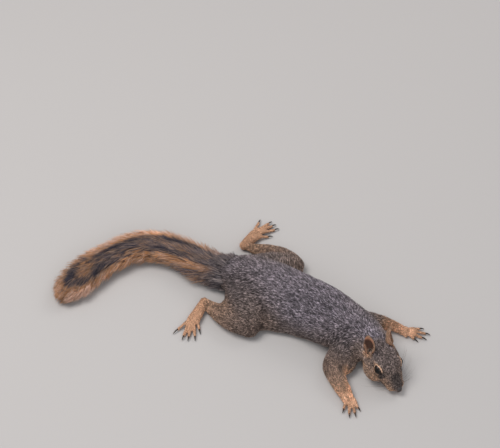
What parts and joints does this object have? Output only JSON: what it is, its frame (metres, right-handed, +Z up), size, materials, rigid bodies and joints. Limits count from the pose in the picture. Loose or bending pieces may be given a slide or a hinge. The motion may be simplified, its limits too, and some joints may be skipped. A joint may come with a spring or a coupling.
{
  "type": "squirrel model",
  "caption": "Life-size still model of a fox squirrel lying flat on its belly with legs spread, head turned aside and tail curved.",
  "frame": {"origin": "on the floor, under the middle of the whole animal's box", "axes": "the squirrel faces -Y, its left side is +X, +Z is up from the floor"},
  "size_m": [0.2496, 0.442, 0.0585],
  "materials": {
    "fur_body": "short dense salt-and-pepper coat, grey on the back, warmer on the flanks and limbs",
    "fur_paws": "very short orange-buff coat over narrow toes",
    "fur_tail": "long loose coat, black banded with tawny orange",
    "fur_ears": "thin skin with sparse short orange-brown coat",
    "eye_glass": "wet dark eye",
    "nose_pad": "small dark pebbled nose pad",
    "claw_horn": "smooth near-black claw"
  },
  "bodies": {
    "root": {"trunk": "fur_body", "neck": "fur_body", "head": "fur_body", "foreleg_left": "fur_body", "foreleg_right": "fur_body", "hindleg_left": "fur_body", "hindleg_right": "fur_body", "forefoot_left": "fur_paws", "forefoot_right": "fur_paws", "hindfoot_left": "fur_paws", "hindfoot_right": "fur_paws", "tail_base": "fur_tail", "tail_middle": "fur_tail", "tail_tip": "fur_tail", "ear_left": "fur_ears", "ear_right": "fur_ears", "eye_left": "eye_glass", "eye_right": "eye_glass", "nose": "nose_pad", "claw_forefoot_left_1": "claw_horn", "claw_forefoot_left_2": "claw_horn", "claw_forefoot_left_3": "claw_horn", "claw_forefoot_left_4": "claw_horn", "claw_forefoot_right_1": "claw_horn", "claw_forefoot_right_2": "claw_horn", "claw_forefoot_right_3": "claw_horn", "claw_forefoot_right_4": "claw_horn", "claw_hindfoot_left_1": "claw_horn", "claw_hindfoot_left_2": "claw_horn", "claw_hindfoot_left_3": "claw_horn", "claw_hindfoot_left_4": "claw_horn", "claw_hindfoot_left_5": "claw_horn", "claw_hindfoot_right_1": "claw_horn", "claw_hindfoot_right_2": "claw_horn", "claw_hindfoot_right_3": "claw_horn", "claw_hindfoot_right_4": "claw_horn", "claw_hindfoot_right_5": "claw_horn"}
  },
  "joints": []
}
